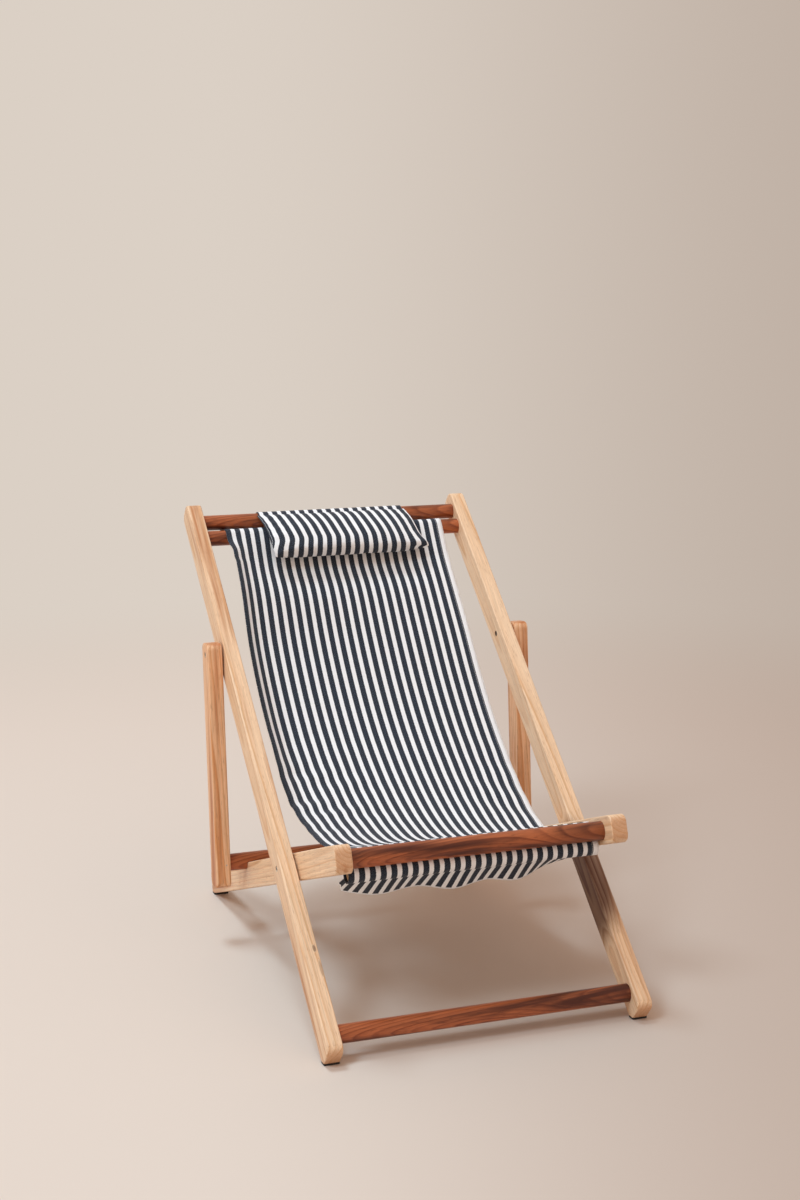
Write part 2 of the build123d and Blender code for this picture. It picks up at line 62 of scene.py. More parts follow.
Array = np.ndarray
AddNode = Callable[..., Any]
MM = 0.001
CLOTH_MAP = "cloth"

# Sockets of the colour mixing node
MIX_A = 6
MIX_B = 7
MIX_OUT = 2


def linear(hex_colour: str) -> tuple[float, float, float, float]:
    """Turn an sRGB hex colour into the linear values that shaders take.

    Args:
        hex_colour: Colour as #rrggbb.

    Returns:
        Linear red, green and blue, and an alpha of 1.
    """
    channels = [int(hex_colour[i : i + 2], 16) / 255 for i in (1, 3, 5)]
    low, high = 12.92, 1.055
    values = [c / low if c <= 0.04045 else ((c + high - 1) / high) ** 2.4 for c in channels]
    return values[0], values[1], values[2], 1.0


def add_node(tree: bpy.types.NodeTree, kind: str, *values: Any, out: int | str = 0, **settings: Any) -> Any:
    """Add one shader node with its settings, values and links.

    Args:
        tree: Node tree of the material or world.
        kind: Blender's name of the node type after ShaderNode, with its operation after a space.
        values: Value or output socket for each input in order, or one mapping of inputs by index
            or name. A hex colour is turned linear.
        out: Number or name of the output wanted.
        settings: Properties of the node itself.

    Returns:
        The output, or None where the node has none.
    """
    kind, _, operation = kind.partition(" ")
    node = tree.nodes.new("ShaderNode" + kind)
    if operation:
        node.operation = operation
    for name, value in settings.items():
        setattr(node, name, value)
    inputs = values[0] if values and isinstance(values[0], dict) else dict(enumerate(values))
    for key, value in inputs.items():
        if isinstance(value, bpy.types.NodeSocket):
            tree.links.new(value, node.inputs[key])
        else:
            node.inputs[key].default_value = linear(value) if isinstance(value, str) else value
    return node.outputs[out] if node.outputs else None


def new_material(name: str) -> tuple[bpy.types.Material, AddNode]:
    """Make an empty node material.

    Args:
        name: Name of the finish.

    Returns:
        The material, and the function that adds a node to it.
    """
    material = bpy.data.materials.new(name)
    material.use_nodes = True
    material.node_tree.nodes.clear()
    return material, partial(add_node, material.node_tree)


def close_material(add: AddNode, height: Any, relief: float, strength: float, inputs: dict[str, Any]) -> None:
    """End a material with its surface, which stands out by a bump.

    Args:
        add: Function that adds a node to the material.
        height: Socket with the height, where one is the relief.
        relief: Relief in mm.
        strength: Share of the relief that shows.
        inputs: The surface's other inputs by name.
    """
    bump = add("Bump", {"Height": height, "Distance": relief * MM, "Strength": strength})
    surface = add("BsdfPrincipled", {**inputs, "Normal": bump})
    add("OutputMaterial", {"Surface": surface})


def catmull_rom(points: Array, count: int) -> Array:
    """Run a smooth line through points.

    Each stretch between two points is a cubic whose slope at a point is half the step between
    the point's neighbours; the ends repeat their last step.

    Args:
        points: Points to pass through, one row each.
        count: Number of points of the new line, evenly spaced in the points' own count.

    Returns:
        The line's points.
    """
    first = 2 * points[0] - points[1]
    last = 2 * points[-1] - points[-2]
    padded = np.vstack([first, points, last])
    at = np.linspace(0, len(points) - 1, count)
    step = np.minimum(at.astype(int), len(points) - 2)
    t = (at - step)[:, None]
    a, b, c, d = (padded[step + k] for k in range(4))
    return 0.5 * (2 * b + (c - a) * t + (2 * a - 5 * b + 4 * c - d) * t**2 + (3 * b - a - 3 * c + d) * t**3)


def even_line(points: Array, spacing: float) -> Array:
    """Resample a line so that its points lie one spacing apart along it.

    Args:
        points: Points of the line.
        spacing: Distance wanted between points.

    Returns:
        The resampled line, with the same ends.
    """
    along = run_length(points)
    count = max(2, int(round(along[-1] / spacing)) + 1)
    at = np.linspace(0, along[-1], count)
    return np.stack([np.interp(at, along, points[:, k]) for k in range(points.shape[1])], axis=1)


def run_length(points: Array) -> Array:
    """Distance along a line up to each of its points, from zero."""
    steps = np.linalg.norm(np.diff(points, axis=0), axis=1)
    return np.concatenate([[0.0], np.cumsum(steps)])


def bell(value: Array, middle: float, spread: float) -> Array:
    """Smooth bump of height one: e to the power of minus the squared distance from the middle in spreads."""
    return np.exp(-(((value - middle) / spread) ** 2))


def smooth_step(value: Array, low: float, high: float) -> Array:
    """Zero below low, one above high, and 3t squared minus 2t cubed between."""
    t = np.clip((value - low) / (high - low), 0, 1)
    return t * t * (3 - 2 * t)


def arc(centre: Array, radius: float, start: float, end: float, count: int) -> Array:
    """Rows of y and z: the centre plus the radius times cosine and sine of degrees from +Y towards +Z."""
    turn = np.radians(np.linspace(start, end, count))
    return centre + radius * np.stack([np.cos(turn), np.sin(turn)], axis=1)


def grid_faces(rows: int, columns: int) -> Array:
    """Quads, four vertex numbers each, of a grid whose vertices are numbered row by row."""
    start = (np.arange(rows - 1)[:, None] * columns + np.arange(columns - 1)).ravel()
    return np.stack([start, start + 1, start + columns + 1, start + columns], axis=1)


def mesh_piece(name: str, vertices: Array, quads: Array, cloth: Array) -> bpy.types.Object:
    """Make a smooth shaded mesh object with a cloth map.

    Args:
        name: Name of the piece.
        vertices: Positions in metres.
        quads: Vertex numbers of the faces.
        cloth: Place on the flat cloth, in metres, for each vertex.

    Returns:
        The object, at the origin.
    """
    mesh = bpy.data.meshes.new(name)
    mesh.from_pydata(vertices, [], quads.tolist())
    layer = mesh.uv_layers.new(name=CLOTH_MAP)
    corners = np.empty(len(mesh.loops), dtype=np.int32)
    mesh.loops.foreach_get("vertex_index", corners)
    layer.data.foreach_set("uv", cloth[corners].astype(np.float32).ravel())
    mesh.polygons.foreach_set("use_smooth", np.ones(len(mesh.polygons), dtype=bool))
    mesh.update()
    piece = bpy.data.objects.new(name, mesh)
    bpy.context.scene.collection.objects.link(piece)
    return piece


def thick_sheet(points: Array, thickness: Array | float, cloth: Array) -> tuple[Array, Array, Array]:
    """Give a sheet a rim and its two sides, each half a thickness from its middle along the normal.

    Args:
        points: Middle surface, rows by columns by three.
        thickness: Thickness, as one value or for each point.
        cloth: Place on the flat cloth for each point.

    Returns:
        Vertices, quads and the cloth place of each vertex.
    """
    normal = np.cross(np.gradient(points, axis=0), np.gradient(points, axis=1))
    normal /= np.linalg.norm(normal, axis=2)[:, :, None]
    half = normal * thickness / 2
    rows, columns = points.shape[:2]
    count = rows * columns
    numbers = np.arange(count).reshape(rows, columns)
    rim = np.concatenate([numbers[0, :-1], numbers[:-1, -1], numbers[-1, :0:-1], numbers[:0:-1, 0]])
    after = np.roll(rim, -1)
    side = grid_faces(rows, columns)
    quads = np.vstack([side, side[:, ::-1] + count, np.stack([rim, rim + count, after + count, after], axis=1)])
    vertices = np.vstack([(points - half).reshape(-1, 3), (points + half).reshape(-1, 3)])
    return vertices, quads, np.vstack([cloth.reshape(-1, 2)] * 2)


def heading(step: Array) -> float:
    """Angle of a step in the side view, in degrees from +Y towards +Z."""
    return math.degrees(math.atan2(step[1], step[0]))


@dataclass(frozen=True)
class Bar:
    """A round bar of the frame in the side view, read from its node's box."""

    centre: Array
    radius: float

    @classmethod
    def of(cls, node: str) -> "Bar":
        """Read a bar's axis and radius from the box of its node."""
        low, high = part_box(node)
        return cls(np.array([(low.y + high.y) / 2, (low.z + high.z) / 2]), (high.z - low.z) / 2)


class Grain(Enum):
    """Which way a member's fibres run: across the chair, or from the first to the second of two nodes."""

    ACROSS = ()
    BACK = ("bottom_bar", "lower_top_bar")
    SEAT = ("front_seat_bar", "rear_seat_bar")
    STRUT = ("strut_pivot_screws", "support_bar")


@dataclass(frozen=True)
class Figure:
    """One of a member's knots, heartwood patches or patches of painted shade: its node, its middle and half sizes in
    mm, and its depth.
    """

    node: str
    along: float
    through: float
    up: float
    half_along: float
    half_through: float
    half_up: float
    depth: float


@dataclass(frozen=True)
class TimberFinish:
    """Sawn or turned timber, planed, sanded and oiled: colour bands of the year rings, fine fibres and open pores."""

    name: str
    early: str
    late: str
    heart: str
    pore: str
    knot_and_shade: str
    ring: float
    ring_share: float
    heart_share: float
    roughness: float
    pith: tuple[float, float]
    fibre: float = 1.3
    slope: float = 0.03
    seed: float = 0.0
    # How many rings a figure pushes aside, and the tone at each share of a ring
    rings_pushed: float = 1.6
    ring_tones: tuple[tuple[float, float], ...] = ((0.0, 0.15), (0.55, 0.42), (0.86, 1.0), (0.95, 0.5), (1.0, 0.15))

    def material(self, place: Vector, turn: Vector, figures: Sequence[Figure]) -> bpy.types.Material:
        """Build the finish for one member.

        The member's own axes are Y along the grain, X through its thickness and Z up its width.
        Year rings are the fractional part of the distance from the pith over the ring width, where
        the distance is bent by slow noise. The pith runs at a slight slope to the member, so the
        rings cross its faces in long arches. Fibres and pores are noise drawn out along Y.

        Args:
            place: Origin of the member's axes.
            turn: Turn of the member's axes as Euler angles.
            figures: Knots, heartwood patches and patches of painted shade of the member.

        Returns:
            The material.
        """
        material, add = new_material(self.name)
        coords = add("TexCoord").node.outputs
        own_axes = {"Vector": coords["Object"], "Location": place, "Rotation": turn}
        local = add("Mapping", own_axes, vector_type="TEXTURE")
        shifted = add("VectorMath ADD", local, (self.seed,) * 3)

        # Slow bends of the rings, some 4 mm high over 60 mm across and 500 mm along
        slow = add("VectorMath MULTIPLY", shifted, (16.0, 2.0, 16.0))
        bend = add("TexNoise", {"Vector": slow, "Scale": 1.0}, out="Color")
        bend = add("VectorMath SUBTRACT", bend, (0.5, 0.5, 0.5))
        bend = add("VectorMath SCALE", {0: bend, "Scale": 16 * MM})
        bent = add("VectorMath ADD", local, bend)

        mask = self.figure_mask(add, bent, figures)
        axes = add("SeparateXYZ", bent).node.outputs
        sloped = add("Math MULTIPLY_ADD", axes["Y"], self.slope, axes["X"])
        across = add("CombineXYZ", {"X": sloped, "Z": axes["Z"]})
        across = add("VectorMath ADD", across, (self.pith[0] * MM, 0.0, self.pith[1] * MM))
        reach = add("VectorMath LENGTH", across, out="Value")
        rings = add("Math MULTIPLY", reach, 1 / (self.ring * MM))
        rings = add("Math MULTIPLY_ADD", mask, self.rings_pushed, rings)
        ramp = add("ValToRGB", add("Math FRACT", rings))
        stops = ramp.node.color_ramp.elements
        for at, _ in self.ring_tones[1:-1]:
            stops.new(at)
        for stop, (at, tone) in zip(stops, self.ring_tones):
            stop.position = at
            stop.color = (tone, tone, tone, 1.0)
        uneven = add("TexNoise", {"W": rings, "Scale": 0.9}, noise_dimensions="1D")
        band = add("Math MULTIPLY", ramp, uneven)
        band = add("Math MULTIPLY", band, 2 * self.ring_share, use_clamp=True)

        # Fibres are drawn 1.3 mm wide and 55 mm long, or 1.7 and 71 mm, coarser than real ones, to show
        fine = 1 / (self.fibre * MM)
        thin = add("VectorMath MULTIPLY", bent, (fine, fine / 42, fine))
        fibres = add("TexNoise", {"Vector": thin, "Scale": 1.0, "Detail": 3.0})
        dash = add("VectorMath MULTIPLY", shifted, (fine, fine / 16, fine))
        pores = add("TexNoise", {"Vector": dash, "Scale": 1.6, "Detail": 1.0})
        pores = add("MapRange", pores, 0.6, 0.74)
        speck = add("Math MULTIPLY", pores, 0.4)

        # Heartwood lies in long streaks some 20 mm wide and 600 mm long
        streak = add("VectorMath MULTIPLY", shifted, (42.0, 1.7, 42.0))
        heart = add("TexNoise", {"Vector": streak, "Scale": 1.0, "Detail": 3.0, "Roughness": 0.6})
        sapwood = 0.66 - 0.3 * self.heart_share
        heart = add("MapRange", heart, sapwood, sapwood + 0.2, interpolation_type="SMOOTHSTEP")

        # End grain soaks up more oil, so it is a shade darker
        facing = {"Vector": coords["Normal"], "Rotation": turn}
        facing = add("Mapping", facing, vector_type="TEXTURE")
        end = add("Math ABSOLUTE", add("SeparateXYZ", facing, out="Y"))
        end = add("MapRange", end, 0.55, 0.95, 0.0, 0.5)

        # Knots, heartwood patches and patches of painted shade are darkest where a ring's late wood crosses them
        lines = add("MapRange", band, 0.0, 1.0, 0.75, 1.0)
        dark = add("Math MULTIPLY", mask, lines)

        colour: Any = self.early
        for share, layer in ((band, self.late), (heart, self.heart)):
            colour = add("Mix", {0: share, MIX_A: colour, MIX_B: layer}, data_type="RGBA", out=MIX_OUT)
        tone = add("MapRange", fibres, 0.3, 0.7, 0.86, 1.1)
        colour = add("VectorMath SCALE", {0: colour, "Scale": tone})
        # The figures' dark colour is also painted shade where a figure is a patch of shade
        for share, layer in ((speck, self.pore), (end, self.heart), (dark, self.knot_and_shade)):
            colour = add("Mix", {0: share, MIX_A: colour, MIX_B: layer}, data_type="RGBA", out=MIX_OUT)

        gloss = add("MapRange", fibres, 0.0, 1.0, self.roughness - 0.08, self.roughness + 0.1)
        height = add("Math MULTIPLY_ADD", pores, -0.6, fibres)
        close_material(add, height, 0.12, 0.5, {"Base Color": colour, "Roughness": gloss, "IOR": 1.47})
        return material

    def figure_mask(self, add: AddNode, bent: Any, figures: Sequence[Figure]) -> Any:
        """Mask that is the figure's depth inside it and falls to zero at its edge.

        Its soft edge lies where the distance from the middle, each way over the half size, is about one.

        Args:
            add: Function that adds a node to the material.
            bent: Socket with the bent place in the member's axes.
            figures: Knots, heartwood patches and patches of painted shade of the member.

        Returns:
            Socket with the mask.
        """
        mask = add("Value")
        mask.default_value = 0.0
        for figure in figures:
            middle = [size * MM for size in (figure.through, figure.along, figure.up)]
            scale = [1 / (size * MM) for size in (figure.half_through, figure.half_along, figure.half_up)]
            away = add("VectorMath SUBTRACT", bent, middle)
            away = add("VectorMath MULTIPLY", away, scale)
            reach = add("VectorMath LENGTH", away, out="Value")
            here = add("MapRange", reach, 1.15, 0.6, 0.0, figure.depth, interpolation_type="SMOOTHSTEP")
            mask = add("Math MAXIMUM", mask, here)
        return mask


@dataclass(frozen=True)
class CanvasFinish:
    """Plain woven cotton canvas, yarn dyed in navy and white stripes: matt, with flecks of white in the navy yarn."""

    name: str
    first_stripe: float
    edge_stitch: float
    white_from: float
    white: str = "#fafbfc"
    navy: str = "#1f232c"
    fleck: str = "#525d6e"
    period: float = 13.9
    white_width: float = 6.1
    thread: float = 1.15
    stitch_pitch: float = 2.3

    def material(self) -> bpy.types.Material:
        """Build the canvas from the cloth map, whose first axis is across the stripes.

        A stripe is white where the fractional part of the distance from the first stripe over the
        period is under the white width's share, with a soft edge of half a thread. The weave is
        the product of two sines, one thread apart.

        Returns:
            The material.
        """
        material, add = new_material(self.name)
        place = add("UVMap", uv_map=CLOTH_MAP)
        axes = add("SeparateXYZ", place).node.outputs
        across, along = axes["X"], axes["Y"]

        # Yarns wander by a fifth of a millimetre, which frays the stripes' edges a little
        grain = add("TexNoise", {"Vector": place, "Scale": 1 / (1.6 * MM), "Detail": 1.0})
        jitter = add("Math SUBTRACT", grain, 0.5)
        frayed = add("Math MULTIPLY_ADD", jitter, 0.8 * MM, across)
        start = add("Math SUBTRACT", frayed, self.first_stripe * MM)

        # Shares of the way through a stripe's period and through a stitch
        runs = ((start, 1 / (self.period * MM)), (along, 1 / (self.stitch_pitch * MM)))
        share, dash = (add("Math FRACT", add("Math MULTIPLY", *run)) for run in runs)

        # Distances from the middle of a white stripe, in periods, and from the line of stitches
        half = self.white_width / self.period / 2
        middles = ((share, half), (across, self.edge_stitch * MM))
        off, beside = (add("Math ABSOLUTE", add("Math SUBTRACT", *pair)) for pair in middles)
        edge = 0.3 / self.period
        white = add("MapRange", off, half + edge, half - edge)
        last = add("Math GREATER_THAN", frayed, self.white_from * MM)
        white = add("Math MAXIMUM", white, last)
        flecks = add("TexNoise", {"Vector": place, "Scale": 1 / (1.0 * MM)})
        flecks = add("MapRange", flecks, 0.46, 0.72)

        # Threads are drawn about twice as coarse as real ones, so that they show
        turns = 2 * math.pi / (self.thread * MM)
        waves = [add("Math MULTIPLY", axis, turns) for axis in (across, along)]
        waves = [add("Math SINE", wave) for wave in waves]
        weave = add("Math MULTIPLY", *waves)

        # Dashes of white thread along the hem, each over three fifths of its pitch
        line = add("MapRange", beside, 0.5 * MM, 0.2 * MM)
        dash = add("Math LESS_THAN", dash, 0.6)
        dash = add("Math MULTIPLY", dash, 0.55)
        stitch = add("Math MULTIPLY", line, dash)

        # Overlock thread on the raw ends, two millimetres wide
        hem = add("MapRange", along, 2.4 * MM, 1.8 * MM)

        colour: Any = self.navy
        for share, yarn in ((flecks, self.fleck), (white, self.white), (stitch, self.white), (hem, self.white)):
            colour = add("Mix", {0: share, MIX_A: colour, MIX_B: yarn}, data_type="RGBA", out=MIX_OUT)
        shade = add("MapRange", weave, -1.0, 1.0, 0.9, 1.04)
        colour = add("VectorMath SCALE", {0: colour, "Scale": shade})

        height = add("Math MULTIPLY_ADD", stitch, 1.5, weave)
        height = add("Math MULTIPLY_ADD", grain, 1.2, height)
        surface = {
            "Base Color": colour,
            "Roughness": 0.88,
            "IOR": 1.45,
            "Specular IOR Level": 0.25,
            "Sheen Weight": 0.12,
            "Sheen Roughness": 0.5,
        }
        close_material(add, height, 0.2, 0.6, surface)
        return material


@dataclass(frozen=True)
class MetalFinish:
    """Zinc plated steel: a bright, slightly cloudy metal with fine turning marks."""

    name: str = "zinc_plated_steel"
    colour: str = "#c9c6c0"
    roughness: float = 0.32

    def material(self) -> bpy.types.Material:
        """Build the metal; noise of half a millimetre clouds its gloss and its level.

        Returns:
            The material.
        """
        material, add = new_material(self.name)
        coords = add("TexCoord", out="Object")
        cloud = add("TexNoise", {"Vector": coords, "Scale": 1 / (0.5 * MM), "Detail": 3.0})
        gloss = add("MapRange", cloud, 0.0, 1.0, self.roughness - 0.1, self.roughness + 0.15)
        tone = add("MapRange", cloud, 0.0, 1.0, 0.85, 1.05)
        colour = add("VectorMath SCALE", {0: linear(self.colour)[:3], "Scale": tone})
        close_material(add, cloud, 0.02, 0.4, {"Base Color": colour, "Metallic": 1.0, "Roughness": gloss})
        return material


@dataclass(frozen=True)
class RubberFinish:
    """Moulded black rubber: matt, with a fine grain and grey scuffs."""

    name: str = "moulded_rubber"
    colour: str = "#1d1c1c"
    scuff: str = "#3a3836"
    roughness: float = 0.72

    def material(self) -> bpy.types.Material:
        """Build the rubber; noise of 3 mm lays the scuffs and noise of 0.4 mm the grain.

        Returns:
            The material.
        """
        material, add = new_material(self.name)
        coords = add("TexCoord", out="Object")
        wide = add("TexNoise", {"Vector": coords, "Scale": 1 / (3 * MM), "Detail": 3.0})
        fine = add("TexNoise", {"Vector": coords, "Scale": 1 / (0.4 * MM)})
        worn = add("MapRange", wide, 0.5, 0.75)
        colour = add("Mix", {0: worn, MIX_A: self.colour, MIX_B: self.scuff}, data_type="RGBA", out=MIX_OUT)
        gloss = add("MapRange", wide, 0.0, 1.0, self.roughness - 0.1, 0.9)
        close_material(add, fine, 0.05, 0.5, {"Base Color": colour, "Roughness": gloss, "IOR": 1.52})
        return material


# Pale ash: wide sapwood rings in cream and tan, with open pores as fine brown dashes
PALE_ASH = TimberFinish(
    name="oiled_pale_ash",
    early="#f3d3b0", late="#dba877", heart="#bc7a48", pore="#9a6239", knot_and_shade="#451004",
    ring=5.2, ring_share=0.75, heart_share=0.36, roughness=0.4, pith=(-22.0, 4.0),
)
# Ash cut at the heart: redder, with coarse brown streaks between paler bands
STREAKED_ASH = TimberFinish(
    name="oiled_streaked_ash",
    early="#f8cda4", late="#dd9a64", heart="#bb6f3c", pore="#7c4828", knot_and_shade="#5a2d1a",
    ring=5.5, ring_share=0.9, heart_share=0.6, roughness=0.42, pith=(16.0, 6.0), slope=-0.045, seed=3.7,
)
# Turned and oiled red-brown hardwood: dark pores, a soft sheen and near-black streaks
RED_HARDWOOD = TimberFinish(
    name="oiled_red_hardwood",
    early="#bd6a3e", late="#87401f", heart="#4f2010", pore="#33140b", knot_and_shade="#220e08",
    ring=4.2, ring_share=0.9, heart_share=0.62, roughness=0.34, pith=(-9.0, 12.0), fibre=1.7, slope=0.07, seed=7.1,
)
# Sanded dowel without oil: plain and chalky
PLAIN_DOWEL = TimberFinish(
    name="sanded_dowel",
    early="#d9bb95", late="#c39c70", heart="#a97f54", pore="#8a6238", knot_and_shade="#6a4528",
    ring=3.0, ring_share=0.6, heart_share=0.2, roughness=0.6, pith=(10.0, 12.0), seed=11.3,
)


@dataclass
class Timbers:
    """The rails, struts, bars and dowels, which keep their CAD shapes and get their grain here."""

    figures: tuple[Figure, ...] = (
        Figure("left_long_rail", 112.0, 5.0, 18.0, 6.0, 2.6, 4.0, 0.7),
        Figure("left_long_rail", 84.0, 7.0, 18.0, 14.0, 1.8, 4.0, 0.45),
        # The broad patch under the seat is heartwood and painted shade from the sling and bars above; the three narrow
        # ones are heartwood streaks
        Figure("right_long_rail", 168.0, -11.0, -4.0, 98.0, 32.0, 52.0, 1.0),
        Figure("right_long_rail", 152.0, -12.0, 10.0, 86.0, 6.0, 5.0, 1.0),
        Figure("right_long_rail", 166.0, -12.0, -5.0, 72.0, 6.0, 5.0, 1.0),
        Figure("right_long_rail", 170.0, 0.0, 18.0, 66.0, 4.5, 5.0, 0.8),
        Figure("left_seat_rail", -62.0, 4.0, 3.0, 8.0, 9.0, 9.0, 0.55),
        Figure("bottom_bar", -52.0, -9.0, 8.0, 7.0, 4.0, 4.0, 1.0),
        # Painted shade darkens the front seat bar's left end where it meets the rail; the bar is also darker towards
        # its right end
        Figure("front_seat_bar", 165.0, 0.0, 0.0, 85.0, 50.0, 50.0, 0.42),
        Figure("front_seat_bar", -190.0, 0.0, 0.0, 45.0, 50.0, 50.0, 0.42),
    )
    # The turned bars were cut a few degrees off the grain
    bar_slant: float = 5.5
    # Pith of the seat rails, which were sawn from another place than the long rails
    seat_pith: tuple[float, float] = (-9.0, -16.0)
    # Shift of the pattern from one member to the next
    seed_step: float = 1.37

    def member_axes(self, node: str, grain: Grain) -> tuple[Vector, Vector]:
        """Origin and turn of a member's own axes.

        The turn about X is the angle of the line between the two nodes of the grain.

        Args:
            node: Name of the member's node.
            grain: Which way the member runs.

        Returns:
            The origin and the Euler angles.
        """
        if grain is Grain.ACROSS:
            return Vector((0, *Bar.of(node).centre)), Vector((0, 0, math.radians(self.bar_slant - 90)))
        first, second = (Bar.of(end).centre for end in grain.value)
        low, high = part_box(node)
        turn = math.radians(heading(second - first))
        return Vector(((low.x + high.x) / 2, *first)), Vector((turn, 0, 0))

    def dress(self) -> None:
        """Give each timber node its own material, with the grain along the member."""
        families = (
            (PALE_ASH, Grain.BACK, ("left_long_rail", "right_long_rail")),
            (replace(PALE_ASH, pith=self.seat_pith), Grain.SEAT, ("left_seat_rail", "right_seat_rail")),
            (STREAKED_ASH, Grain.STRUT, ("left_support_strut", "right_support_strut")),
            (RED_HARDWOOD, Grain.ACROSS, ("bottom_bar", "lower_top_bar", "upper_top_bar")),
            (RED_HARDWOOD, Grain.ACROSS, ("front_seat_bar", "rear_seat_bar", "support_bar")),
            (PLAIN_DOWEL, Grain.ACROSS, ("top_sleeve_dowel", "front_sleeve_dowel")),
        )
        members = [(finish, grain, node) for finish, grain, nodes in families for node in nodes]
        for number, (finish, grain, node) in enumerate(members):
            own = replace(finish, name=f"{finish.name}_{node}", seed=finish.seed + self.seed_step * number)
            figures = [figure for figure in self.figures if figure.node == node]
            set_finish(node, own.material(*self.member_axes(node, grain), figures))
            LOG.info("timber %s dressed in %s", node, finish.name)


def set_finish(node: str, material: bpy.types.Material) -> None:
    """Put one material on a CAD node.

    Args:
        node: Name of the node.
        material: Its material.
    """
    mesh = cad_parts[node].data
    mesh.materials.clear()
    mesh.materials.append(material)


@dataclass
class Fittings:
    """Pivot screws, nuts, washers, brads, foot screws and rubber feet."""

    def dress(self) -> None:
        """Give the metal nodes their plated finish and the feet their rubber, by the end of a node's name."""
        metal = MetalFinish().material()
        finishes = {
            # The nuts sit in recesses in the rails; their near-black colour is painted shade of the recess
            "nuts": MetalFinish("nut_steel_painted_shade", "#3b3836", 0.45).material(),
            "screws": metal,
            "washers": metal,
            "brads": metal,
            "pads": RubberFinish().material(),
        }
        for node in sorted(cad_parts):
            kind = node.split("_")[-1]
            if kind in finishes:
                set_finish(node, finishes[kind])
                LOG.info("fitting %s dressed in %s", node, finishes[kind].name)


@dataclass(frozen=True)
class ClothEnd:
    """An end of the sling, which goes over a bar, down beside the other one and round the dowel in its sleeve.

    The way round the dowel is 1 from +Y towards +Z. The droop is how far the sleeve's seam lies
    below +Y, in degrees.
    """

    bar: Bar
    other: Bar
    dowel: Bar
    way: int
    droop: float


@dataclass(frozen=True)
class Wave:
    """A run of small folds: its height, the distance between crests along and across the cloth, and its phase."""

    height: float
    along: float
    across: float
    phase: float = 0.0

    def at(self, along: Array, across: Array) -> Array:
        """Height times the sine of the turns made along and across, after the phase."""
        return self.height * np.sin(2 * math.pi * (along / self.along + across / self.across) + self.phase)


